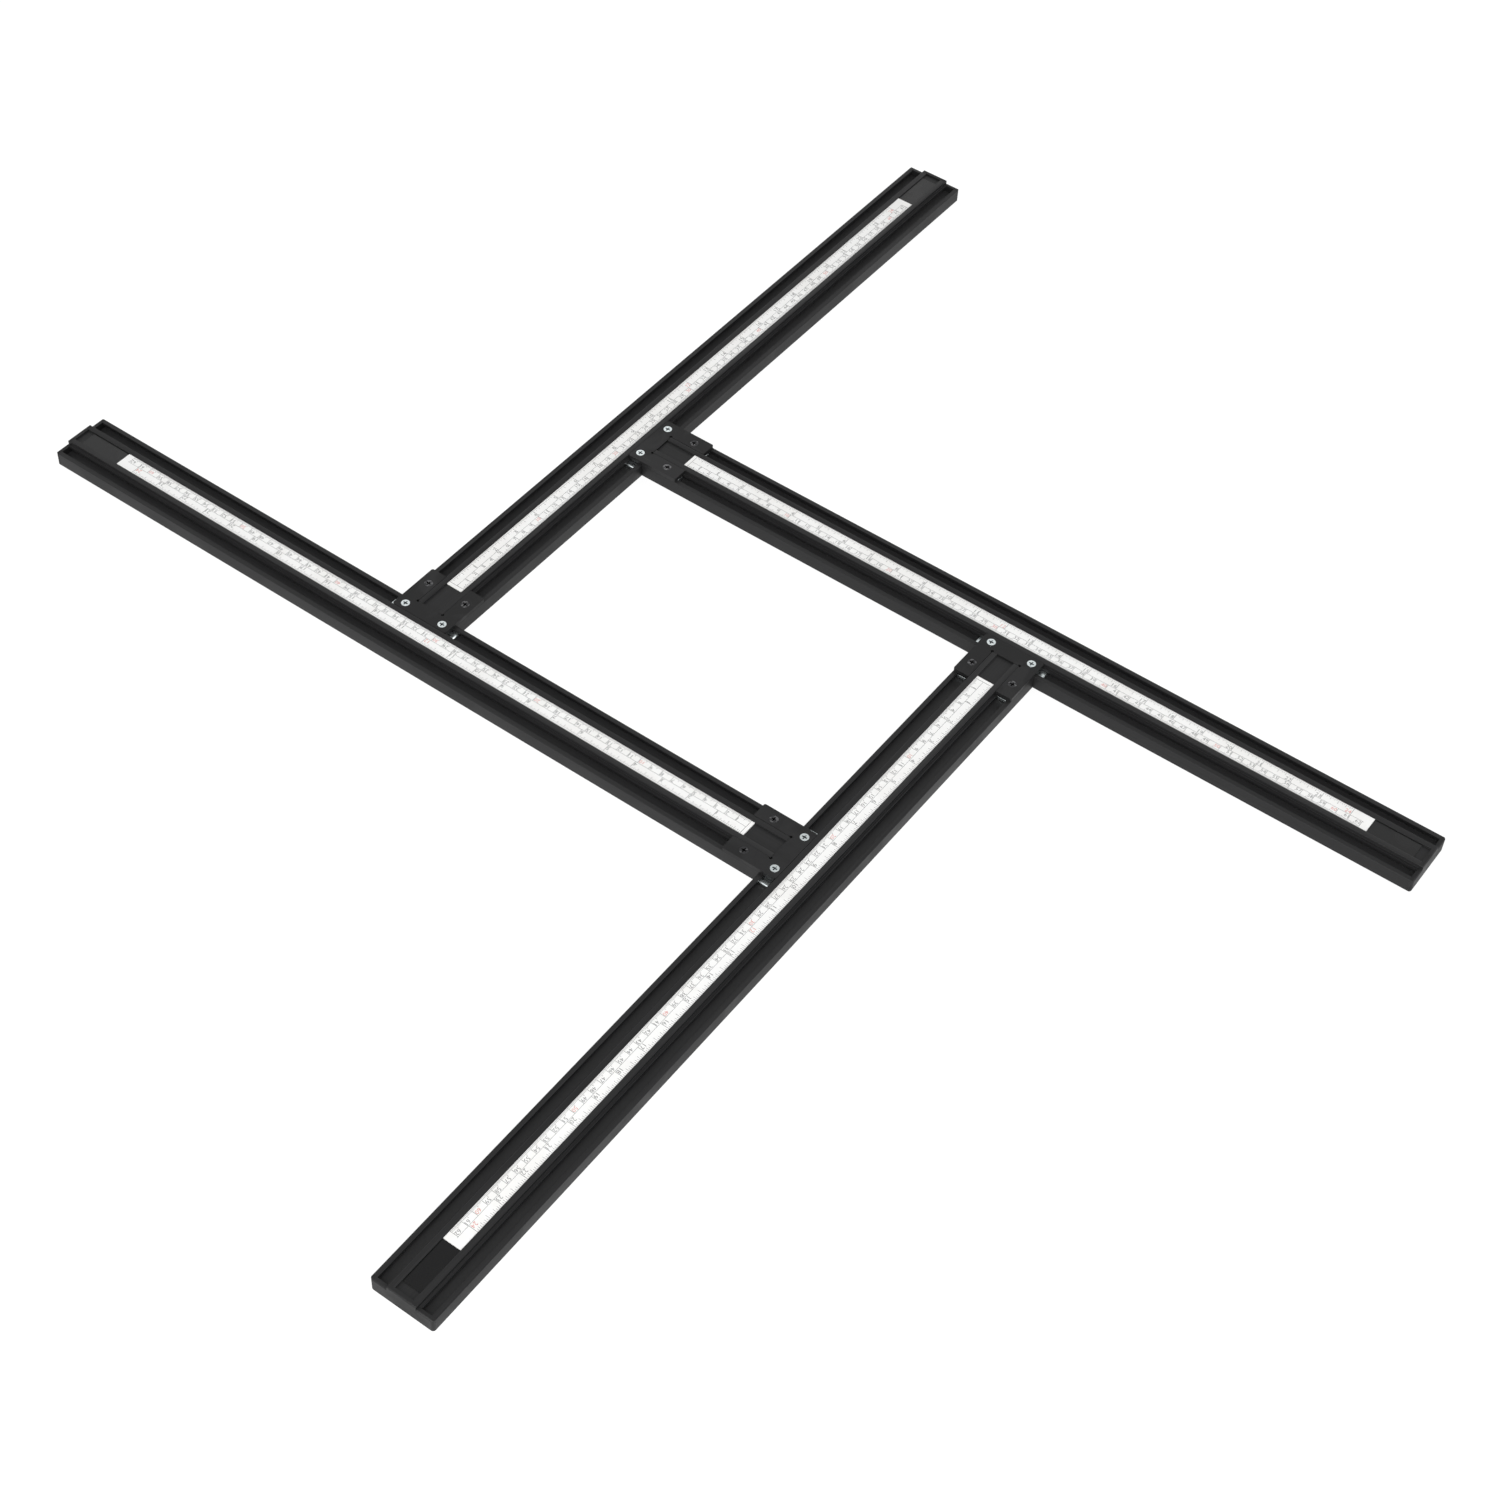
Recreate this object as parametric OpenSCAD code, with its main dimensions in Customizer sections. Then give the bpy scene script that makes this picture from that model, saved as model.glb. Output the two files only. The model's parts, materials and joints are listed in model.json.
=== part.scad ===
// Adjustable four-arm marking and routing frame.
// Four alike arms lie in a pinwheel around a rectangular opening.
// A bracket at the start of each arm is clamped in the inner slot of the next arm.

/* [Opening] */
// Opening between the left and right arms
opening_x = 328; // [60:1:600]
// Opening between the front and back arms
opening_y = 234; // [60:1:600]

/* [Rail] */
// Length of a rail
rail_len = 704; // [690:1:1000]
// Width of a rail
rail_w = 53; // [51:0.5:64]
// Height of the rims along the sides of a rail
rim_h = 12; // [11:0.1:18]
// How far the middle land stands above the rims
land_rise = 3.2; // [2:0.1:5]
// Width of the middle land
land_w = 24.4; // [20:0.1:25]
// Distance from a rail's side to the middle of its slot
slot_inset = 8; // [7.6:0.1:8.6]
// Width of a slot's mouth
mouth_w = 8.4; // [7:0.1:10]
// Width of a slot below its lips
slot_w = 12.2; // [11:0.1:13]
// Thickness of the lips over a slot
lip_t = 2.6; // [2:0.1:3.5]
// Thickness of the rail's base
base_t = 2; // [1.5:0.1:3]
// Wall under a slot, between it and the hollow
floor_t = 1.8; // [1.2:0.1:2.4]
// Wall at a rail's sides, beside the hollow
side_t = 2.4; // [1.5:0.1:4]
// Wall between a slot and the hollow in the middle
web_t = 1.6; // [1:0.1:3]
// Wall between the land's side and the hollow in the middle
land_wall = 1.4; // [1:0.1:3]
// Wall between the hollow and the scale groove
crown_t = 1.6; // [1:0.1:3]
// Round on the long edges of a rail
edge_r = 0.4; // [0.2:0.1:1]
// Round in the corners of the hollow
hollow_r = 1.2; // [0.5:0.1:2]

/* [Scale] */
// Depth of the groove that holds the scale strip
groove_d = 1.5; // [1:0.1:2.5]
// Width of the scale strip
scale_w = 14.8; // [12:0.1:17]
// Thickness of the scale strip
scale_t = 1; // [0.4:0.1:1.4]
// Distance from the next arm's side to the start of the scale strip
scale_start = 28.5; // [20:0.5:40]
// Length of the label after the scale strip
label_len = 39; // [20:1:60]
// Thickness of the label
label_t = 0.5; // [0.2:0.1:1]
// Gap between the scale strip and the label
label_gap = 0.3; // [0.1:0.1:2]
// Bare groove between the label and the end cap
groove_bare = 7; // [1:0.5:20]
// Gap on each side of what lies in the groove
groove_fit = 0.2; // [0.1:0.05:0.6]

/* [Corner bracket] */
// Thickness of the bracket's plate
bracket_t = 3.2; // [2:0.1:6]
// Reach of the bracket's legs along the arm
leg_len = 33.5; // [28:0.5:50]
// Radius of the relief holes in the fork's corners
relief_r = 1.3; // [0.5:0.05:2]
// Round on the bracket's outer corners
bracket_r = 1.5; // [0.3:0.1:2]
// How far the keys under the bracket reach into the slots
key_h = 2.2; // [1:0.1:2.6]
// Gap between a key and its slot, on each side
key_fit = 0.3; // [0.1:0.05:0.6]
// Distance from a key's end to the bracket's edge
key_inset = 1; // [0.5:0.1:4]
// Gap between the fork and the land, at its sides and its end
land_fit = 0.2; // [0.1:0.05:0.5]
// Distance from the next arm's side to the fixing screws
fixing_s = 19.5; // [14:0.5:24]

/* [Fasteners] */
// Diameter of the screws
screw_d = 4; // [3:0.5:5]
// Diameter of a screw's countersunk head
head_d = 7; // [6.5:0.1:8]
// Height of the straight edge of the head
head_edge = 0.3; // [0.1:0.05:0.5]
// Depth of the head's top below the bracket's face
head_sink = 0.1; // [0:0.05:0.4]
// Gap between a head and its countersink
seat_fit = 0.1; // [0.05:0.05:0.2]
// Length of the cross recess in the head
recess_l = 4.2; // [3:0.1:5]
// Width of the cross recess
recess_w = 1.1; // [0.7:0.1:1.5]
// Depth of the cross recess
recess_d = 1.5; // [0.8:0.1:1.9]
// How far a screw passes below its nut
screw_past = 0.5; // [0.2:0.1:1.2]
// Gap between a clamp screw's tip and the slot's floor
tip_gap = 0.25; // [0.1:0.05:1]
// Lead-in at a screw's tip
tip_h = 0.6; // [0.3:0.1:1]
// Gap around a screw in the bracket's hole
hole_fit = 0.25; // [0.1:0.05:0.5]
// Gap around a screw in its tapped hole
thread_fit = 0.05; // [0.02:0.01:0.1]
// Thickness of a nut bar
bar_t = 2.5; // [2:0.1:3]
// Gap between a nut bar and the slot's side
bar_fit = 0.35; // [0.1:0.05:0.8]
// How far the clamp's nut bar shows past the bracket on each side
bar_past = 5; // [1:0.5:10]
// Round on the corners of a nut bar
bar_r = 1.5; // [0.5:0.1:5]
// Length of the nut under a fixing screw
fixing_nut_len = 26; // [12:1:26]

/* [End cap] */
// Thickness of the end cap's flange
cap_t = 3.5; // [2:0.5:8]
// Round on the end cap's upright corners
cap_r = 2.5; // [0.5:0.1:3.4]
// Round on the end cap's top edges
cap_edge_r = 1.2; // [0.3:0.1:1.8]
// How far the end cap's plug reaches into the rail
plug_len = 12; // [6:1:30]
// Wall of the end cap's plug
plug_wall = 1.8; // [1:0.1:3]
// Gap around the end cap's plug
plug_fit = 0.2; // [0.1:0.05:0.4]

/* [Hidden] */
$fn = 48;

// Running gap between an arm and the arm that it slides on
slide_gap = 0.15;

// Overlap that makes cuts and joins clean
cut = 0.5;

ARMS = ["back", "left", "front", "right"];
PIECES = ["rail", "scale_strip", "blank_label", "end_cap", "corner_bracket",
          "clamp_nut_bar", "inner_clamp_screw", "outer_clamp_screw",
          "fixing_screws", "fixing_nuts"];

// Signs of the opening's corner where each arm starts
CORNER_X = [-1, -1, 1, 1];
CORNER_Y = [1, -1, -1, 1];

RAIL_BLACK = "#2b2b2e";
MOULDED_BLACK = "#333335";
SCALE_WHITE = "#eceae4";
LABEL_BLACK = "#161617";
ZINC = "#c3c8cc";
OXIDE_BLACK = "#222224";

land_h = rim_h + land_rise;
land_y = (rail_w - land_w) / 2;
slot_top = rim_h - lip_t;
slot_ys = [slot_inset, rail_w - slot_inset];
groove_w = scale_w + 2 * groove_fit;
groove_z = land_h - groove_d;
hollow_y = max(slot_inset + slot_w / 2 + web_t, land_y + land_wall);
hollow_w = rail_w - 2 * hollow_y;
hollow_h = groove_z - crown_t - base_t;
clamp_bar_z = slot_top - slide_gap - bar_t;
fixing_nut_z = slot_top - bar_t;
slot_floor = clamp_bar_z - screw_past - tip_gap;
low_hollow_h = slot_floor - floor_t - base_t;
rail_end = slide_gap + rail_len;
label_start = rail_end - groove_bare - label_len;
scale_len = label_start - label_gap - scale_start;
bracket_top = rim_h + bracket_t;
bracket_reach = land_y - land_fit;
fork_y = land_y - land_fit;
fork_start = slide_gap - land_fit;
key_w = mouth_w - 2 * key_fit;
hole_r = screw_d / 2 + hole_fit;
head_h = head_edge + (head_d - screw_d) / 2;
head_top = bracket_top - head_sink;
tapped_r = screw_d / 2 + thread_fit;
bar_w = slot_w - 2 * bar_fit;

// Puts a piece drawn along +X, with its outer side towards +Y, on one of the four arms
module on_arm(i) {
    translate([CORNER_X[i] * opening_x / 2, CORNER_Y[i] * opening_y / 2, 0])
        rotate([0, 0, 90 * i])
            children();
}

// Draws an outline that lies across the arm, of the given length along it
module along_arm(length) {
    rotate([90, 0, 90])
        linear_extrude(length)
            children();
}

// What is cut from a sharp corner at p to round it; into points at the material
module corner_cut(p, into, r) {
    translate(p)
        difference() {
            translate(into * (r - cut) / 2)
                square(r + cut, center = true);
            translate(into * r)
                circle(r);
        }
}

// Rectangle with its lowest corner at the origin and all its corners rounded
module rounded_plate(size, r) {
    difference() {
        square(size);
        for (x = [0, 1])
            for (y = [0, 1])
                corner_cut([x * size.x, y * size.y], [1 - 2 * x, 1 - 2 * y], r);
    }
}

// Outside of the rail's section: base, rims and land, with nothing cut out
module rail_outline() {
    difference() {
        union() {
            square([rail_w, rim_h]);
            translate([land_y, 0])
                square([land_w, land_h]);
        }
        for (side = [0, 1]) {
            inward = 1 - 2 * side;
            corner_cut([side * rail_w, 0], [inward, 1], edge_r);
            corner_cut([side * rail_w, rim_h], [inward, -1], edge_r);
            corner_cut([land_y + side * land_w, land_h], [inward, -1], edge_r);
        }
    }
}

// Hollow of the rail: high under the land and low under the slots
module rail_hollow() {
    translate([hollow_y, base_t])
        rounded_plate([hollow_w, hollow_h], hollow_r);
    translate([side_t, base_t])
        rounded_plate([rail_w - 2 * side_t, low_hollow_h], min(hollow_r, low_hollow_h / 3));
}

// Section of the rail: two slots with lips, a hollow and the scale groove
module rail_section() {
    difference() {
        rail_outline();
        for (y = slot_ys) {
            translate([y - slot_w / 2, slot_floor])
                square([slot_w, slot_top - slot_floor]);
            translate([y - mouth_w / 2, slot_top - cut])
                square([mouth_w, lip_t + 2 * cut]);
        }
        rail_hollow();
        translate([(rail_w - groove_w) / 2, groove_z])
            square([groove_w, groove_d + cut]);
    }
}

module rail() {
    color(RAIL_BLACK)
        translate([slide_gap, 0, 0])
            along_arm(rail_len)
                rail_section();
}

module scale_strip() {
    color(SCALE_WHITE)
        translate([scale_start, (rail_w - scale_w) / 2, groove_z])
            cube([scale_len, scale_w, scale_t]);
}

module blank_label() {
    color(LABEL_BLACK)
        translate([label_start, (rail_w - scale_w) / 2, groove_z])
            cube([label_len, scale_w, label_t]);
}

// Plug of the end cap: a thin-walled box that fills the high part of the rail's hollow
module cap_plug() {
    plug_size = [hollow_w - 2 * plug_fit, hollow_h - 2 * plug_fit];
    translate([-plug_len, hollow_y + plug_fit, base_t + plug_fit])
        along_arm(plug_len + cap_t / 2)
            rounded_plate(plug_size, hollow_r);
}

module cap_plug_core() {
    core_size = [hollow_w - 2 * (plug_fit + plug_wall), hollow_h - 2 * (plug_fit + plug_wall)];
    translate([-plug_len - cut, hollow_y + plug_fit + plug_wall, base_t + plug_fit + plug_wall])
        along_arm(plug_len + cut)
            square(core_size);
}

// What is cut from the end cap to round its top edge at height z, from w0 to w1 across the arm
module cap_edge_cut(z, w0, w1) {
    translate([0, w1, 0])
        rotate([90, 0, 0])
            linear_extrude(w1 - w0)
                corner_cut([cap_t, z], [-1, -1], cap_edge_r);
}

module end_cap() {
    color(MOULDED_BLACK)
        translate([rail_end, 0, 0])
            difference() {
                union() {
                    along_arm(cap_t)
                        rail_outline();
                    cap_plug();
                }
                cap_plug_core();
                for (side = [0, 1])
                    translate([0, 0, -cut])
                        linear_extrude(land_h + 2 * cut)
                            corner_cut([cap_t, side * rail_w], [-1, 1 - 2 * side], cap_r);
                cap_edge_cut(rim_h, -cut, land_y);
                cap_edge_cut(land_h, -cut, rail_w + cut);
                cap_edge_cut(rim_h, rail_w - land_y, rail_w + cut);
            }
}

// Plan of the bracket: a plate across the next arm's slot with two legs along this arm
module bracket_plan() {
    difference() {
        translate([-bracket_reach, 0])
            rounded_plate([bracket_reach + leg_len, rail_w], bracket_r);
        translate([fork_start, fork_y])
            square([leg_len - fork_start + cut, rail_w - 2 * fork_y]);
        for (y = [fork_y, rail_w - fork_y])
            translate([fork_start, y])
                circle(relief_r);
    }
}

// Keys under the bracket: one in the next arm's slot, two in this arm's slots
module bracket_keys() {
    translate([-slot_inset - key_w / 2, key_inset, rim_h - key_h])
        cube([key_w, rail_w - 2 * key_inset, key_h + bracket_t / 2]);
    for (y = slot_ys)
        translate([fork_start + key_inset, y - key_w / 2, rim_h - key_h])
            cube([leg_len - fork_start - 2 * key_inset, key_w, key_h + bracket_t / 2]);
}

module corner_bracket() {
    color(MOULDED_BLACK)
        difference() {
            union() {
                translate([0, 0, rim_h])
                    linear_extrude(bracket_t)
                        bracket_plan();
                bracket_keys();
            }
            next_arm_relief();
            for (y = slot_ys)
                for (s = [-slot_inset, fixing_s])
                    translate([s, y, head_top])
                        screw_hole();
        }
}

// What is cut from the bracket for a screw whose head has its top at z = 0: a hole and a countersink
module screw_hole() {
    seat_r = head_d / 2 + seat_fit;
    hole_depth = head_top - rim_h + key_h + cut;
    translate([0, 0, -hole_depth])
        cylinder(r = hole_r, h = hole_depth + head_sink + cut);
    translate([0, 0, -head_h])
        cylinder(r1 = screw_d / 2 + seat_fit, r2 = seat_r, h = head_h - head_edge);
    translate([0, 0, -head_edge])
        cylinder(r = seat_r, h = head_edge + head_sink + cut);
}

// Thin slice under the bracket that keeps it clear of the next arm's rim and ledge
module next_arm_relief() {
    for (s = [[-bracket_reach - cut, -slot_inset - key_w / 2], [-slot_inset + key_w / 2, slide_gap]])
        translate([s[0], -cut, rim_h - cut])
            cube([s[1] - s[0], rail_w + 2 * cut, cut + slide_gap]);
}

// Flat bar with rounded corners, centred on the origin, with its top at z = bar_t
module nut_bar(size, holes) {
    difference() {
        linear_extrude(bar_t)
            translate(-size / 2)
                rounded_plate(size, bar_r);
        for (p = holes)
            translate([p.x, p.y, -cut])
                cylinder(r = tapped_r, h = bar_t + 2 * cut);
    }
}

module clamp_nut_bar() {
    hole_y = rail_w / 2 - slot_inset;
    color(ZINC)
        translate([-slot_inset, rail_w / 2, clamp_bar_z])
            nut_bar([bar_w, rail_w + 2 * bar_past], [[0, -hole_y], [0, hole_y]]);
}

module fixing_nuts() {
    color(ZINC)
        for (y = slot_ys)
            translate([fixing_s, y, fixing_nut_z])
                nut_bar([fixing_nut_len, bar_w], [[0, 0]]);
}

// Cross recess in a head whose top is at z = 0; its four wings taper towards its floor
module cross_recess() {
    taper = (recess_l / 2 - recess_w) / recess_d;
    intersection() {
        translate([0, 0, -recess_d])
            cylinder(r1 = recess_w, r2 = recess_l / 2 + taper * cut, h = recess_d + cut);
        for (turn = [0, 90])
            rotate([0, 0, turn])
                cube([head_d, recess_w, 2 * (recess_d + cut)], center = true);
    }
}

// Countersunk screw with a cross recess; the top of its head is at z = 0
module flat_screw(length) {
    difference() {
        rotate_extrude()
            polygon([
                [0, 0],
                [head_d / 2, 0],
                [head_d / 2, -head_edge],
                [screw_d / 2, -head_h],
                [screw_d / 2, tip_h - length],
                [(screw_d - tip_h) / 2, -length],
                [0, -length],
            ]);
        cross_recess();
    }
}

module clamp_screw(y) {
    color(ZINC)
        translate([-slot_inset, y, head_top])
            flat_screw(head_top - clamp_bar_z + screw_past);
}

module inner_clamp_screw() {
    clamp_screw(slot_ys[0]);
}

module outer_clamp_screw() {
    clamp_screw(slot_ys[1]);
}

module fixing_screws() {
    color(OXIDE_BLACK)
        for (y = slot_ys)
            translate([fixing_s, y, head_top])
                flat_screw(head_top - fixing_nut_z + screw_past);
}

for (i = [0 : 3]) {
    arm = str(ARMS[i], "_");
    on_arm(i) rail();
    on_arm(i) scale_strip();
    on_arm(i) blank_label();
    on_arm(i) end_cap();
    on_arm(i) corner_bracket();
    on_arm(i) clamp_nut_bar();
    on_arm(i) inner_clamp_screw();
    on_arm(i) outer_clamp_screw();
    on_arm(i) fixing_screws();
    on_arm(i) fixing_nuts();
}
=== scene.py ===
# Looks of the adjustable marking frame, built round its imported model. Lengths are in metres.
import json
import math

import bmesh
import bpy
from mathutils import Matrix, Quaternion, Vector


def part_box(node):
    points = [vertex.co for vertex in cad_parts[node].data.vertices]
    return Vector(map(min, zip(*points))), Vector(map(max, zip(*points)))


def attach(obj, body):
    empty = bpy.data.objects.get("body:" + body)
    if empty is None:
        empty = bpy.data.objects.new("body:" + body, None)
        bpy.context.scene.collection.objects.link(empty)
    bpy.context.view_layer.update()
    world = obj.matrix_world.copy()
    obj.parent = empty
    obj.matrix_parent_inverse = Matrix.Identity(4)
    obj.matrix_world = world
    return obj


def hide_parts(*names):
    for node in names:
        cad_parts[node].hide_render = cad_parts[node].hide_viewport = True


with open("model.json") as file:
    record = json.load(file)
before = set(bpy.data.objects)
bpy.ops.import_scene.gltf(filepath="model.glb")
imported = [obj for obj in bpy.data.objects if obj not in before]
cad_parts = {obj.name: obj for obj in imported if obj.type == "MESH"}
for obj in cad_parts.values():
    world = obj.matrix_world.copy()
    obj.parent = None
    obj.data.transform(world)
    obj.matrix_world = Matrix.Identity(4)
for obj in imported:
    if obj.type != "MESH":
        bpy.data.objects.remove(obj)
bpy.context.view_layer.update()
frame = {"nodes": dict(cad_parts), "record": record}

MM = 0.001
CENTIMETRE = 10 * MM
INCH = 25.4 * MM

# Arms in the order of their quarter turns: each runs along its turned X, its outer side on its turned Y
ARMS = ("back", "left", "front", "right")

# Camera of the photograph
CAMERA_AT = Vector((0.8480, -1.2263, 1.5676))
CAMERA_AIM = Vector((0.0837, -0.0705, 0.0))
CAMERA_ROLL = math.radians(3.68)
CAMERA_LENS = 66.71

# Copies of the solids: how close their corners merge, and which angle makes an edge
MERGE = 0.001 * MM
FLAT_ANGLE = math.radians(0.2)
EDGE_ANGLE = math.radians(30)
EDGE_SEGMENTS = 2

# Softened edges of each kind of piece
EDGE_WIDTHS = {
    "rail": 0.15 * MM,
    "scale_strip": 0.08 * MM,
    "blank_label": 0.08 * MM,
    "end_cap": 0.3 * MM,
    "corner_bracket": 0.3 * MM,
    "clamp_nut_bar": 0.06 * MM,
    "inner_clamp_screw": 0.12 * MM,
    "outer_clamp_screw": 0.12 * MM,
    "fixing_screws": 0.12 * MM,
    "fixing_nuts": 0.03 * MM,
}

# Slant along the top edges of the nuts
NUT_CHAMFERS = {"clamp_nut_bar": 0.6 * MM, "fixing_nuts": 0.12 * MM}

# Mask on the faces that get a painted colour: painted shade in the recesses of screw heads and painted
# light on the floors and walls of rails' slots
PAINTED_SHADE_AND_LIGHT_MASK = "painted_shade_and_light"

# Recess of a screw's head, where shade is painted: how far it reaches from the axis, and where it lies
# below the top
RECESS_REACH = 2.3 * MM
RECESS_FROM = 0.05 * MM
RECESS_TO = 1.6 * MM

# Inside of a rail's slots, where light is painted: the heights that it lies between, and how far it is
# from the rail's sides
SLOT_FROM = 5.9 * MM
SLOT_TO = 9.3 * MM
SLOT_BESIDE = 1 * MM

# Print of a scale strip, measured along it from its start and across it from its middle line
ZERO_AT = 2.9 * MM
CENTIMETRES = 62
CENTIMETRE_TICKS = 10
INCHES = 24
INCH_TICKS = 16
PRINT_END = 624 * MM
STRIP_LOW, STRIP_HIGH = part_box("back_scale_strip")
STRIP_HALF = (STRIP_HIGH.y - STRIP_LOW.y) / 2
EDGE_BARE = 0.25 * MM
RULE_AT = -0.3 * MM
INK_THICK = 0.03 * MM
INK_SUNK = 0.01 * MM
FINE_LINE = 0.2 * MM
BOLD_LINE = 0.26 * MM
MILLIMETRE_TICK = 1.9 * MM
FIVE_TICK = 3.0 * MM
SIXTEENTH_TICK = 1.7 * MM
EIGHTH_TICK = 2.4 * MM
QUARTER_TICK = 3.1 * MM
HALF_TICK = 4.0 * MM
CM_NUMERAL_H = 3.1 * MM
CM_NUMERAL_W = -4.1 * MM
INCH_NUMERAL_H = 3.4 * MM
INCH_NUMERAL_W = 0.4 * MM
NUMERAL_GAP = 0.5 * MM
NUMERAL_THINNING = -0.014
NUMERAL_CURVE_STEPS = 2
NUMERAL_MERGE = 1e-4
RED_CENTIMETRES = 10
RED_INCHES = 12

# Soft boxes round the frame: where each stands, its size and its power in watts
SOFT_BOXES = {
    "soft_box_above": ((0.8, -1.6, 2.6), 2.0, 40),
    "soft_box_right": ((2.4, 1.4, 1.45), 1.0, 6),
    "soft_box_front": ((0.5, -3.0, 0.7), 1.4, 30),
}

# Floor and room
FLOOR_SIZE = 60
FLOOR_DROP = 0.2 * MM
FLOOR_GLOW = 0.86
FLOOR_COLOUR = (0.22, 0.22, 0.22, 1)
FLOOR_REFLECTED = 0.8
ROOM_BRIGHT = 0.95
ROOM_DIM = 0.2
ROOM_BRIGHT_TO = math.sin(math.radians(40))
ROOM_DIM_FROM = math.sin(math.radians(64))

# Shares of an effect's values that a range and a blend of two colours run between
RANGE_FROM = 0.25
RANGE_TO = 0.75
TONE_FROM = 0.3
TONE_TO = 0.7

# How often the lines on a rail change along it and across it, to the metre
LINES_ALONG = 4
LINES_ACROSS = 1400

BODY_OF = {node: body for body, nodes in frame["record"]["behaviour"]["bodies"].items() for node in nodes}
SLOT_OF = {piece["node"]: piece["material_slot"] for piece in frame["record"]["subparts"]}


# Shader groups

def start_group(name, inputs):
    """A shader group with a Vector input, the given inputs and one Value output."""
    group = bpy.data.node_groups.new(name, "ShaderNodeTree")
    group.interface.new_socket("Vector", in_out="INPUT", socket_type="NodeSocketVector")
    for socket, kind in inputs:
        group.interface.new_socket(socket, in_out="INPUT", socket_type=kind)
    group.interface.new_socket("Value", in_out="OUTPUT", socket_type="NodeSocketFloat")
    return group, group.nodes.new("NodeGroupInput"), group.nodes.new("NodeGroupOutput")


def grain_group():
    """Fine grain of an etched or moulded surface; Scale is in grains to the metre."""
    group, given, out = start_group("fine_grain", [("Scale", "NodeSocketFloat")])
    noise = group.nodes.new("ShaderNodeTexNoise")
    noise.inputs["Detail"].default_value = 2
    group.links.new(given.outputs["Vector"], noise.inputs["Vector"])
    group.links.new(given.outputs["Scale"], noise.inputs["Scale"])
    group.links.new(noise.outputs["Fac"], out.inputs["Value"])
    return group


def drawn_lines_group():
    """Lines that drawing or extruding leaves; Stretch is small along the lines and large across them."""
    group, given, out = start_group("drawn_lines", [("Stretch", "NodeSocketVector")])
    stretch = group.nodes.new("ShaderNodeVectorMath")
    stretch.operation = "MULTIPLY"
    noise = group.nodes.new("ShaderNodeTexNoise")
    noise.inputs["Scale"].default_value = 1
    noise.inputs["Detail"].default_value = 3
    group.links.new(given.outputs["Vector"], stretch.inputs[0])
    group.links.new(given.outputs["Stretch"], stretch.inputs[1])
    group.links.new(stretch.outputs["Vector"], noise.inputs["Vector"])
    group.links.new(noise.outputs["Fac"], out.inputs["Value"])
    return group


def handling_group():
    """Soft patches where hands have polished a surface; Scale is in patches to the metre."""
    group, given, out = start_group("handling", [("Scale", "NodeSocketFloat")])
    noise = group.nodes.new("ShaderNodeTexNoise")
    noise.inputs["Detail"].default_value = 4
    noise.inputs["Distortion"].default_value = 0.6
    patches = group.nodes.new("ShaderNodeMapRange")
    patches.interpolation_type = "SMOOTHSTEP"
    patches.inputs["From Min"].default_value = 0.38
    patches.inputs["From Max"].default_value = 0.66
    group.links.new(given.outputs["Vector"], noise.inputs["Vector"])
    group.links.new(given.outputs["Scale"], noise.inputs["Scale"])
    group.links.new(noise.outputs["Fac"], patches.inputs["Value"])
    group.links.new(patches.outputs["Result"], out.inputs["Value"])
    return group


GRAIN = grain_group()
DRAWN_LINES = drawn_lines_group()
HANDLING = handling_group()


# Parts of a material

def start_material(name, shader_values):
    """A material with these values on its shader; also its node tree, its shader and its coordinates."""
    material = bpy.data.materials.new(name)
    material.use_nodes = True
    tree = material.node_tree
    shader = tree.nodes["Principled BSDF"]
    for socket, value in shader_values.items():
        shader.inputs[socket].default_value = value
    coordinates = tree.nodes.new("ShaderNodeTexCoord").outputs["Object"]
    return material, tree, shader, coordinates


def effect(tree, group, coordinates, **values):
    """Places a shader group in a material and gives its value."""
    node = tree.nodes.new("ShaderNodeGroup")
    node.node_tree = group
    tree.links.new(coordinates, node.inputs["Vector"])
    for socket, value in values.items():
        node.inputs[socket].default_value = value
    return node.outputs["Value"]


def ranged(tree, value, low, high):
    """Spreads the middle of an effect's values from low to high."""
    node = tree.nodes.new("ShaderNodeMapRange")
    node.inputs["From Min"].default_value = RANGE_FROM
    node.inputs["From Max"].default_value = RANGE_TO
    node.inputs["To Min"].default_value = low
    node.inputs["To Max"].default_value = high
    tree.links.new(value, node.inputs["Value"])
    return node.outputs["Result"]


def two_tone(tree, value, low, high):
    """A colour that goes from low to high with an effect's value."""
    node = tree.nodes.new("ShaderNodeValToRGB")
    node.color_ramp.elements[0].position = TONE_FROM
    node.color_ramp.elements[0].color = (*low, 1)
    node.color_ramp.elements[1].position = TONE_TO
    node.color_ramp.elements[1].color = (*high, 1)
    tree.links.new(value, node.inputs["Fac"])
    return node.outputs["Color"]


def added(tree, first, second):
    """The sum of two values."""
    node = tree.nodes.new("ShaderNodeMath")
    node.operation = "ADD"
    tree.links.new(first, node.inputs[0])
    tree.links.new(second, node.inputs[1])
    return node.outputs["Value"]


def grimed(tree, clean, painted_shade_and_light):
    """A colour that turns to a painted colour where the piece's own mask says so: painted shade in screw
    recesses and painted light in rail slots.
    """
    mask = tree.nodes.new("ShaderNodeAttribute")
    mask.attribute_name = PAINTED_SHADE_AND_LIGHT_MASK
    node = tree.nodes.new("ShaderNodeMix")
    node.data_type = "RGBA"
    first, second = (socket for socket in node.inputs if socket.type == "RGBA")
    second.default_value = (*painted_shade_and_light, 1)
    tree.links.new(mask.outputs["Fac"], node.inputs[0])
    tree.links.new(clean, first)
    return next(socket for socket in node.outputs if socket.type == "RGBA")


def raise_surface(tree, shader, height, depth):
    """Bumps the shader's surface by a height of the given depth."""
    node = tree.nodes.new("ShaderNodeBump")
    node.inputs["Strength"].default_value = 1
    node.inputs["Distance"].default_value = depth
    tree.links.new(height, node.inputs["Height"])
    tree.links.new(node.outputs["Normal"], shader.inputs["Normal"])


# Materials

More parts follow.
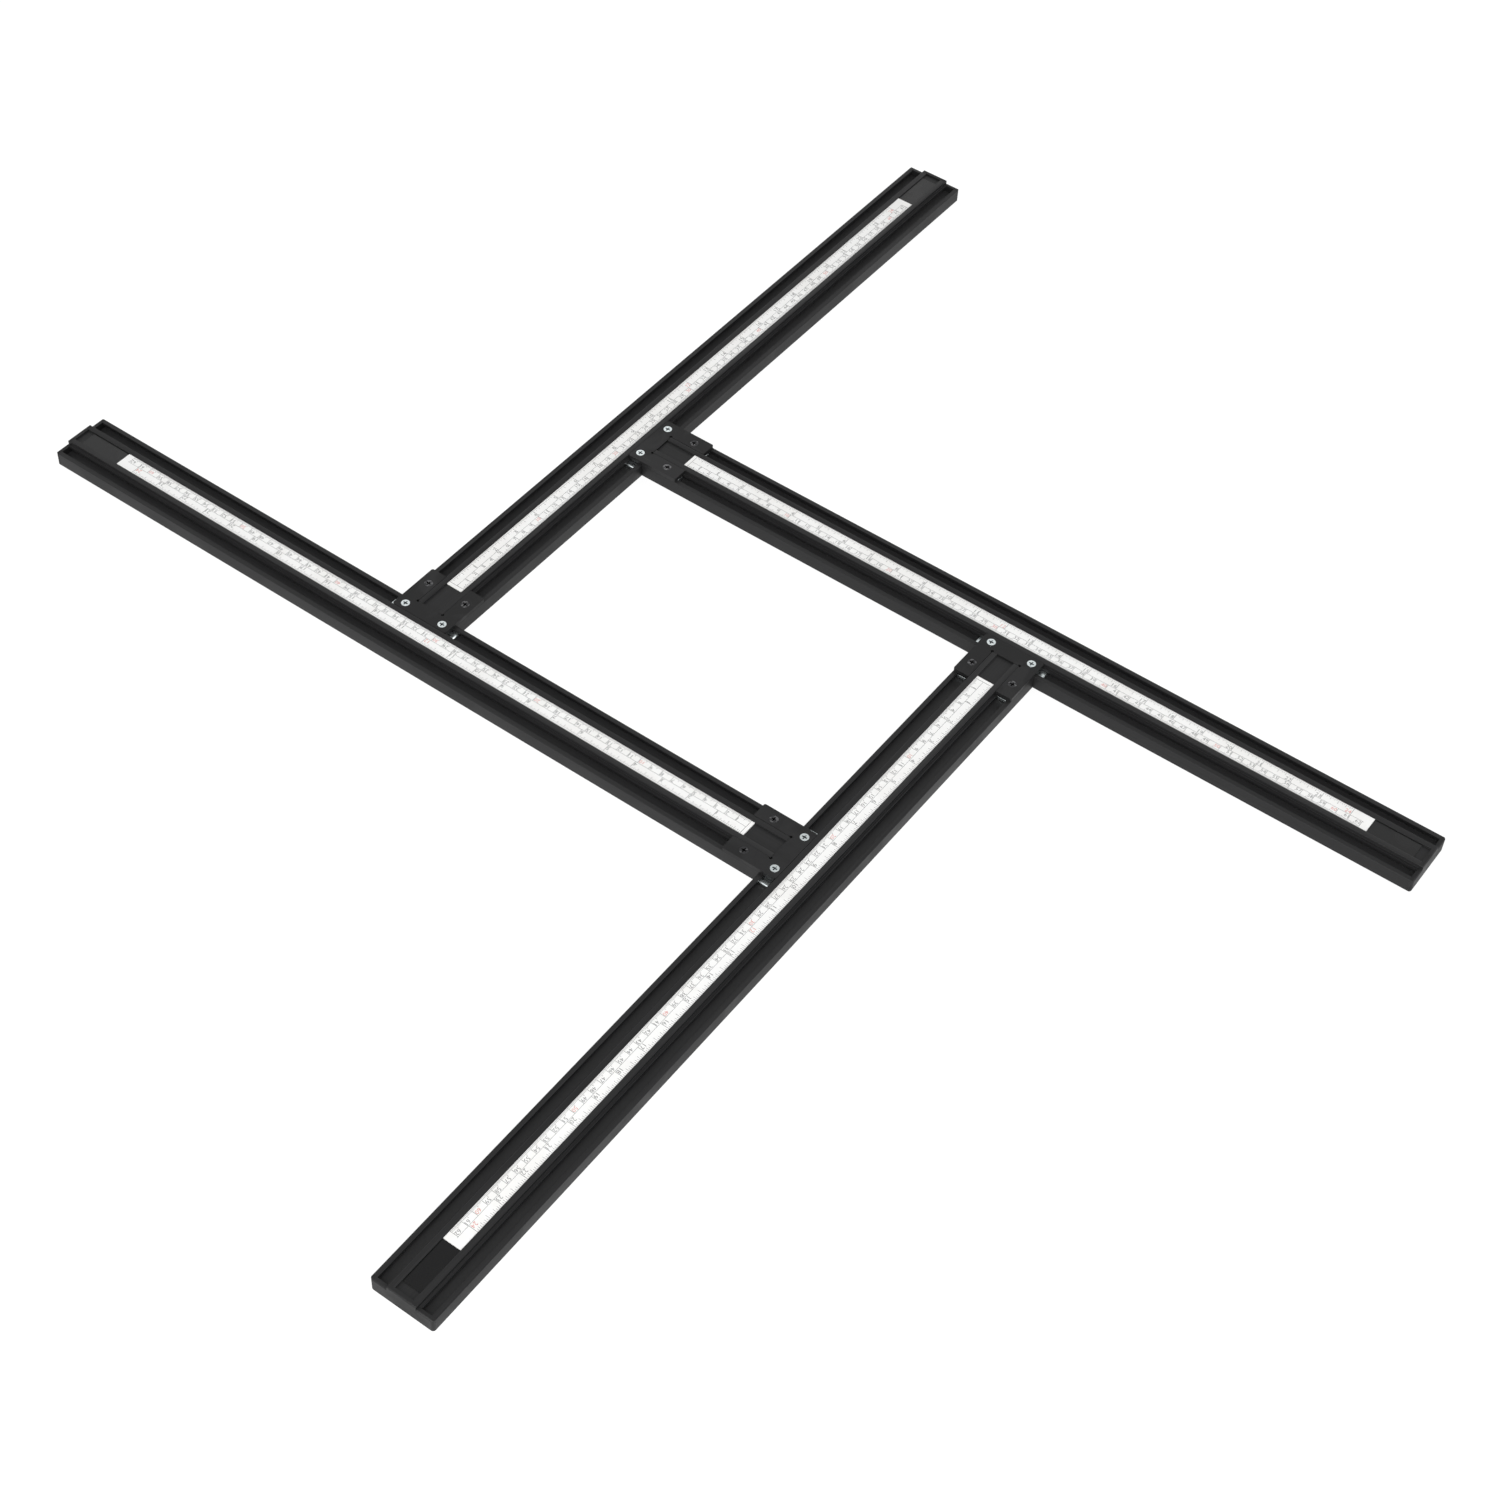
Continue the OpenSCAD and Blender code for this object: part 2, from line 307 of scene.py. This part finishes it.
def anodised_aluminium(name, stretch):
    """Black anodised extrusion: a matt etched grain under lines along the rail, and painted light in its
    slots, whose floors and walls are coloured lighter than the rail.
    """
    values = {"Metallic": 0, "Specular IOR Level": 0.28}
    material, tree, shader, coordinates = start_material(name, values)
    lines = effect(tree, DRAWN_LINES, coordinates, Stretch=stretch)
    grain = effect(tree, GRAIN, coordinates, Scale=5000)
    patches = effect(tree, HANDLING, coordinates, Scale=14)
    clean = two_tone(tree, lines, (0.013, 0.013, 0.0134), (0.019, 0.019, 0.0195))
    # Painted light: the slots' floors and walls are coloured lighter than the rest of the rail, standing
    # in for light that reaches them.
    colour = grimed(tree, clean, (0.028, 0.028, 0.0285))
    tree.links.new(colour, shader.inputs["Base Color"])
    tree.links.new(ranged(tree, patches, 0.50, 0.42), shader.inputs["Roughness"])
    raise_surface(tree, shader, added(tree, lines, grain), 0.006 * MM)
    return material


def moulded_nylon():
    """Black moulded plastic with a fine spark-eroded texture."""
    values = {"Metallic": 0, "Specular IOR Level": 0.34}
    material, tree, shader, coordinates = start_material("moulded_nylon", values)
    grain = effect(tree, GRAIN, coordinates, Scale=2600)
    patches = effect(tree, HANDLING, coordinates, Scale=30)
    colour = two_tone(tree, patches, (0.008, 0.008, 0.0083), (0.013, 0.013, 0.0135))
    tree.links.new(colour, shader.inputs["Base Color"])
    tree.links.new(ranged(tree, patches, 0.56, 0.46), shader.inputs["Roughness"])
    raise_surface(tree, shader, grain, 0.025 * MM)
    return material


def strip_plastic():
    """Off-white strip with a faint mottle and a satin face."""
    values = {"Metallic": 0, "Specular IOR Level": 0.4}
    material, tree, shader, coordinates = start_material("strip_plastic", values)
    grain = effect(tree, GRAIN, coordinates, Scale=1800)
    patches = effect(tree, HANDLING, coordinates, Scale=22)
    colour = two_tone(tree, patches, (0.90, 0.90, 0.89), (0.87, 0.865, 0.85))
    tree.links.new(colour, shader.inputs["Base Color"])
    tree.links.new(ranged(tree, grain, 0.42, 0.52), shader.inputs["Roughness"])
    raise_surface(tree, shader, grain, 0.004 * MM)
    return material


def ink(name, thin, full):
    """Printing ink that lies thinner in places."""
    values = {"Metallic": 0, "Specular IOR Level": 0.3}
    material, tree, shader, coordinates = start_material(name, values)
    grain = effect(tree, GRAIN, coordinates, Scale=3000)
    colour = two_tone(tree, grain, full, thin)
    tree.links.new(colour, shader.inputs["Base Color"])
    tree.links.new(ranged(tree, grain, 0.5, 0.65), shader.inputs["Roughness"])
    return material


def label_film():
    """Bare black label film, smoother than the rail around it."""
    values = {"Metallic": 0, "Specular IOR Level": 0.5}
    material, tree, shader, coordinates = start_material("label_film", values)
    grain = effect(tree, GRAIN, coordinates, Scale=1200)
    patches = effect(tree, HANDLING, coordinates, Scale=45)
    colour = two_tone(tree, patches, (0.004, 0.004, 0.0042), (0.006, 0.006, 0.0063))
    tree.links.new(colour, shader.inputs["Base Color"])
    tree.links.new(ranged(tree, patches, 0.3, 0.24), shader.inputs["Roughness"])
    raise_surface(tree, shader, grain, 0.004 * MM)
    return material


def zinc_plate():
    """Bright zinc on steel, with a bluish mottle, fine tool marks and painted shade in a screw's recess.
    """
    material, tree, shader, coordinates = start_material("zinc_plate", {"Metallic": 1})
    grain = effect(tree, GRAIN, coordinates, Scale=3500)
    patches = effect(tree, HANDLING, coordinates, Scale=420)
    clean = two_tone(tree, patches, (0.86, 0.935, 0.945), (0.92, 0.985, 0.985))
    # Painted shade: the faces in a screw head's recess are coloured dark grey.
    colour = grimed(tree, clean, (0.15, 0.17, 0.175))
    tree.links.new(colour, shader.inputs["Base Color"])
    tree.links.new(ranged(tree, patches, 0.3, 0.2), shader.inputs["Roughness"])
    raise_surface(tree, shader, grain, 0.004 * MM)
    return material


def black_oxide():
    """Black oxide on steel, worn a little brighter in patches, with painted shade in a screw's recess."""
    material, tree, shader, coordinates = start_material("black_oxide", {"Metallic": 1})
    grain = effect(tree, GRAIN, coordinates, Scale=4000)
    patches = effect(tree, HANDLING, coordinates, Scale=380)
    clean = two_tone(tree, patches, (0.07, 0.07, 0.073), (0.2, 0.2, 0.205))
    # Painted shade: the faces in a screw head's recess are coloured near black.
    colour = grimed(tree, clean, (0.006, 0.006, 0.006))
    tree.links.new(colour, shader.inputs["Base Color"])
    tree.links.new(ranged(tree, patches, 0.42, 0.3), shader.inputs["Roughness"])
    raise_surface(tree, shader, grain, 0.01 * MM)
    return material


RAIL_FINISHES = (
    anodised_aluminium("anodised_rail_along_x", (LINES_ALONG, LINES_ACROSS, LINES_ACROSS)),
    anodised_aluminium("anodised_rail_along_y", (LINES_ACROSS, LINES_ALONG, LINES_ACROSS)),
)
BLACK_INK = ink("black_ink", (0.06, 0.06, 0.062), (0.03, 0.03, 0.032))
RED_INK = ink("red_ink", (0.66, 0.14, 0.10), (0.56, 0.07, 0.05))
FINISHES = {
    "moulded_black": moulded_nylon(),
    "scale_strip": strip_plastic(),
    "black_label": label_film(),
    "zinc_steel": zinc_plate(),
    "black_oxide_steel": black_oxide(),
}


# Pieces

def axis_along(arm):
    """The axis that an arm runs along: 0 for X and 1 for Y."""
    return ARMS.index(arm) % 2


def finish_of(arm, node):
    """The material of a node: the rails' lines follow the arm."""
    if SLOT_OF[node] == "anodised_rail":
        return RAIL_FINISHES[axis_along(arm)]
    return FINISHES[SLOT_OF[node]]


def add_piece(name, mesh, material, body):
    """Links a finished mesh as a piece that rides on a body."""
    mesh.materials.clear()
    mesh.materials.append(material)
    piece = bpy.data.objects.new(name, mesh)
    bpy.context.scene.collection.objects.link(piece)
    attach(piece, body)
    return piece


def corners_of(vertices):
    """The lowest and the highest corner of a mesh's box."""
    places = [vertex.co for vertex in vertices]
    return Vector(map(min, *places)), Vector(map(max, *places))


def grime_recesses(bm):
    """Marks the faces in the recess of each head for painted shade, in a mesh of one screw or of two side
    by side.
    """
    mask = bm.faces.layers.float.new(PAINTED_SHADE_AND_LIGHT_MASK)
    low, high = corners_of(bm.verts)
    radius = min(high.x - low.x, high.y - low.y) / 2
    axes = (low.xy + Vector((radius, radius)), high.xy - Vector((radius, radius)))
    for face in bm.faces:
        at = face.calc_center_median()
        depth = high.z - at.z
        near = min((at.xy - axis).length for axis in axes)
        face[mask] = float(near < RECESS_REACH and RECESS_FROM < depth < RECESS_TO)


def dust_slots(bm, across):
    """Marks the floors and walls of a rail's slots for painted light; across is the axis that runs across
    the rail.
    """
    mask = bm.faces.layers.float.new(PAINTED_SHADE_AND_LIGHT_MASK)
    low, high = corners_of(bm.verts)
    for face in bm.faces:
        at = face.calc_center_median()
        beside = min(at[across] - low[across], high[across] - at[across])
        face[mask] = float(SLOT_FROM < at.z < SLOT_TO and beside > SLOT_BESIDE)


def chamfer_top(bm, width):
    """Cuts a slant along the top edges of a nut and of its tapped holes."""
    top = corners_of(bm.verts)[1].z
    edges = [edge for edge in bm.edges
             if all(top - vertex.co.z < MERGE for vertex in edge.verts)
             and edge.calc_face_angle() > EDGE_ANGLE]
    bmesh.ops.bevel(bm, geom=edges, offset=width, offset_type="OFFSET", segments=1,
                    profile=0.5, affect="EDGES", material=-1)


def soft_edged_copy(arm, kind):
    """A merged copy of a CAD node, softened along its edges, that stands for the node."""
    node = f"{arm}_{kind}"
    bm = bmesh.new()
    bm.from_mesh(frame["nodes"][node].data)
    bmesh.ops.remove_doubles(bm, verts=bm.verts, dist=MERGE)
    bmesh.ops.dissolve_limit(bm, angle_limit=FLAT_ANGLE, verts=bm.verts, edges=bm.edges)
    # Screws get painted shade in the recesses of their heads.
    if "screw" in kind:
        grime_recesses(bm)
    # Rails get painted light on the floors and walls of their slots.
    if kind == "rail":
        dust_slots(bm, across=1 - axis_along(arm))
    if kind in NUT_CHAMFERS:
        chamfer_top(bm, NUT_CHAMFERS[kind])
    mesh = bpy.data.meshes.new(f"{node}_finish")
    bm.to_mesh(mesh)
    bm.free()
    mesh.shade_smooth()
    mesh.set_sharp_from_angle(angle=EDGE_ANGLE)
    piece = add_piece(f"{node}_finish", mesh, finish_of(arm, node), BODY_OF[node])
    bevel = piece.modifiers.new("soft_edges", "BEVEL")
    bevel.width = EDGE_WIDTHS[kind]
    bevel.segments = EDGE_SEGMENTS
    bevel.limit_method = "ANGLE"
    bevel.angle_limit = EDGE_ANGLE
    bevel.harden_normals = True
    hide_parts(node)


def add_line(bm, start, end, low, high):
    """A printed bar between two places along the strip and two across it."""
    size = (end - start, high - low, INK_THICK)
    middle = ((start + end) / 2, (low + high) / 2, INK_THICK / 2 - INK_SUNK)
    bmesh.ops.create_cube(bm, size=1, matrix=Matrix.Translation(middle) @ Matrix.Diagonal((*size, 1)))


def add_tick(bm, at, low, high, width):
    """A printed line across the strip."""
    add_line(bm, at - width / 2, at + width / 2, low, high)


def numeral_mesh(number):
    """A number as a closed mesh, one unit high and one thick, that ends at the origin."""
    curve = bpy.data.curves.new(f"numeral_{number}", "FONT")
    curve.body = str(number)
    curve.resolution_u = NUMERAL_CURVE_STEPS
    curve.extrude = 0.5
    curve.offset = NUMERAL_THINNING
    lettering = bpy.data.objects.new(curve.name, curve)
    bpy.context.scene.collection.objects.link(lettering)
    evaluated = lettering.evaluated_get(bpy.context.evaluated_depsgraph_get())
    mesh = bpy.data.meshes.new_from_object(evaluated)
    bpy.data.objects.remove(lettering)
    low, high = corners_of(mesh.vertices)
    height = high.y - low.y
    mesh.transform(Matrix.Translation((-high.x, -low.y, 0)))
    mesh.transform(Matrix.Diagonal((1 / height, 1 / height, 1, 1)))
    bm = bmesh.new()
    bm.from_mesh(mesh)
    bmesh.ops.remove_doubles(bm, verts=bm.verts, dist=NUMERAL_MERGE)
    bmesh.ops.recalc_face_normals(bm, faces=bm.faces)
    bm.to_mesh(mesh)
    bm.free()
    return mesh


def add_numeral(bm, number, line_at, low, height):
    """Prints a number just before the line that it belongs to."""
    mesh = numeral_mesh(number)
    place = Vector((line_at - NUMERAL_GAP, low, INK_THICK / 2 - INK_SUNK))
    mesh.transform(Matrix.Translation(place) @ Matrix.Diagonal((height, height, INK_THICK, 1)))
    bm.from_mesh(mesh)


def print_centimetres(black, red):
    """Ticks from the strip's inner edge, with a line and a number at each centimetre."""
    edge = EDGE_BARE - STRIP_HALF
    for tick in range(CENTIMETRE_TICKS * CENTIMETRES + 1):
        at = ZERO_AT + tick * MM
        if tick % CENTIMETRE_TICKS == 0:
            add_tick(black, at, edge, RULE_AT, BOLD_LINE)
        elif tick % (CENTIMETRE_TICKS // 2) == 0:
            add_tick(black, at, edge, edge + FIVE_TICK, FINE_LINE)
        else:
            add_tick(black, at, edge, edge + MILLIMETRE_TICK, FINE_LINE)
    for number in range(1, CENTIMETRES + 1):
        bm = red if number % RED_CENTIMETRES == 0 else black
        add_numeral(bm, number, ZERO_AT + number * CENTIMETRE, CM_NUMERAL_W, CM_NUMERAL_H)


def print_inches(black, red):
    """Ticks from the strip's outer edge in sixteenths, with a line and a number at each inch."""
    edge = STRIP_HALF - EDGE_BARE
    lengths = {8: HALF_TICK, 4: QUARTER_TICK, 2: EIGHTH_TICK, 1: SIXTEENTH_TICK}
    for tick in range(INCH_TICKS * INCHES + 1):
        at = ZERO_AT + tick * INCH / INCH_TICKS
        if tick % INCH_TICKS == 0:
            add_tick(black, at, RULE_AT, edge, BOLD_LINE)
        else:
            length = next(lengths[step] for step in lengths if tick % step == 0)
            add_tick(black, at, edge - length, edge, FINE_LINE)
    for number in range(1, INCHES + 1):
        bm = red if number % RED_INCHES == 0 else black
        add_numeral(bm, number, ZERO_AT + number * INCH, INCH_NUMERAL_W, INCH_NUMERAL_H)


def scale_prints():
    """The black and the red print of one strip, along X from the strip's start."""
    black, red = bmesh.new(), bmesh.new()
    print_centimetres(black, red)
    print_inches(black, red)
    add_line(black, ZERO_AT, PRINT_END, RULE_AT - FINE_LINE / 2, RULE_AT + FINE_LINE / 2)
    meshes = {}
    for colour, bm in (("black", black), ("red", red)):
        meshes[colour] = bpy.data.meshes.new(f"scale_print_{colour}")
        bm.to_mesh(meshes[colour])
        bm.free()
    return meshes


def strip_place(arm):
    """Where an arm's scale strip starts: the middle of its top edge there, turned along the arm."""
    low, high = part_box(f"{arm}_scale_strip")
    turn = Matrix.Rotation(ARMS.index(arm) * math.pi / 2, 4, "Z")
    half_length = max(high.x - low.x, high.y - low.y) / 2
    start = (low + high) / 2 - turn @ Vector((half_length, 0, 0))
    start.z = high.z
    return Matrix.Translation(start) @ turn


def dress_arm(arm, prints):
    """Finishes every piece of one arm and prints its scale."""
    for kind in EDGE_WIDTHS:
        soft_edged_copy(arm, kind)
    for colour, material in (("black", BLACK_INK), ("red", RED_INK)):
        mesh = prints[colour].copy()
        mesh.transform(strip_place(arm))
        add_piece(f"{arm}_scale_print_{colour}", mesh, material, f"{arm}_arm")


scale_print_meshes = scale_prints()
for arm_name in ARMS:
    dress_arm(arm_name, scale_print_meshes)


# Floor, light and camera

def floor_paper():
    """White paper: it glows for the camera and in reflections, and keeps the frame's shadow."""
    material = bpy.data.materials.new("floor_paper")
    material.use_nodes = True
    tree = material.node_tree
    tree.nodes.clear()
    path = tree.nodes.new("ShaderNodeLightPath")
    mirrored = tree.nodes.new("ShaderNodeMath")
    mirrored.operation = "MULTIPLY"
    mirrored.inputs[1].default_value = FLOOR_REFLECTED
    through = added(tree, path.outputs["Is Glossy Ray"], path.outputs["Is Transmission Ray"])
    tree.links.new(through, mirrored.inputs[0])
    seen = added(tree, path.outputs["Is Camera Ray"], mirrored.outputs["Value"])
    paper = tree.nodes.new("ShaderNodeBsdfDiffuse")
    paper.inputs["Color"].default_value = FLOOR_COLOUR
    glow = tree.nodes.new("ShaderNodeEmission")
    glow.inputs["Strength"].default_value = FLOOR_GLOW
    both = tree.nodes.new("ShaderNodeAddShader")
    choice = tree.nodes.new("ShaderNodeMixShader")
    out = tree.nodes.new("ShaderNodeOutputMaterial")
    tree.links.new(paper.outputs["BSDF"], both.inputs[0])
    tree.links.new(glow.outputs["Emission"], both.inputs[1])
    tree.links.new(seen, choice.inputs["Fac"])
    tree.links.new(paper.outputs["BSDF"], choice.inputs[1])
    tree.links.new(both.outputs["Shader"], choice.inputs[2])
    tree.links.new(choice.outputs["Shader"], out.inputs["Surface"])
    return material


def add_floor():
    """A wide sheet of paper just below the rails."""
    bm = bmesh.new()
    place = Matrix.Translation((0, 0, -FLOOR_DROP))
    bmesh.ops.create_grid(bm, x_segments=1, y_segments=1, size=FLOOR_SIZE / 2, matrix=place)
    mesh = bpy.data.meshes.new("floor")
    bm.to_mesh(mesh)
    bm.free()
    mesh.materials.append(floor_paper())
    floor = bpy.data.objects.new("floor", mesh)
    bpy.context.scene.collection.objects.link(floor)


def add_lamp(name, at, size, power):
    """A square soft box that faces the middle of the frame."""
    data = bpy.data.lights.new(name, "AREA")
    data.size = size
    data.energy = power
    lamp = bpy.data.objects.new(name, data)
    lamp.location = at
    lamp.rotation_euler = (-Vector(at)).to_track_quat("-Z", "Y").to_euler()
    bpy.context.scene.collection.objects.link(lamp)


def add_room():
    """Pale walls all round that grow dim towards the ceiling; the camera sees them white."""
    world = bpy.data.worlds.new("room")
    world.use_nodes = True
    tree = world.node_tree
    direction = tree.nodes.new("ShaderNodeSeparateXYZ")
    walls = tree.nodes.new("ShaderNodeMapRange")
    walls.interpolation_type = "SMOOTHSTEP"
    walls.inputs["From Min"].default_value = ROOM_BRIGHT_TO
    walls.inputs["From Max"].default_value = ROOM_DIM_FROM
    walls.inputs["To Min"].default_value = ROOM_BRIGHT
    walls.inputs["To Max"].default_value = ROOM_DIM
    seen = tree.nodes.new("ShaderNodeMath")
    seen.operation = "MAXIMUM"
    background = tree.nodes["Background"]
    background.inputs["Color"].default_value = (1, 1, 1, 1)
    tree.links.new(tree.nodes.new("ShaderNodeTexCoord").outputs["Generated"], direction.inputs["Vector"])
    tree.links.new(direction.outputs["Z"], walls.inputs["Value"])
    tree.links.new(walls.outputs["Result"], seen.inputs[0])
    tree.links.new(tree.nodes.new("ShaderNodeLightPath").outputs["Is Camera Ray"], seen.inputs[1])
    tree.links.new(seen.outputs["Value"], background.inputs["Strength"])
    bpy.context.scene.world = world


def add_camera():
    """Stands the camera where the photograph was taken."""
    data = bpy.data.cameras.new("photo_camera")
    data.lens = CAMERA_LENS
    camera = bpy.data.objects.new("photo_camera", data)
    camera.location = CAMERA_AT
    look = (CAMERA_AIM - CAMERA_AT).to_track_quat("-Z", "Y")
    camera.rotation_euler = (look @ Quaternion((0, 0, 1), CAMERA_ROLL)).to_euler()
    bpy.context.scene.collection.objects.link(camera)
    bpy.context.scene.camera = camera


add_floor()
add_room()
for box_name, (box_at, box_size, box_power) in SOFT_BOXES.items():
    add_lamp(box_name, box_at, box_size, box_power)
add_camera()
bpy.context.scene.view_settings.view_transform = "Standard"
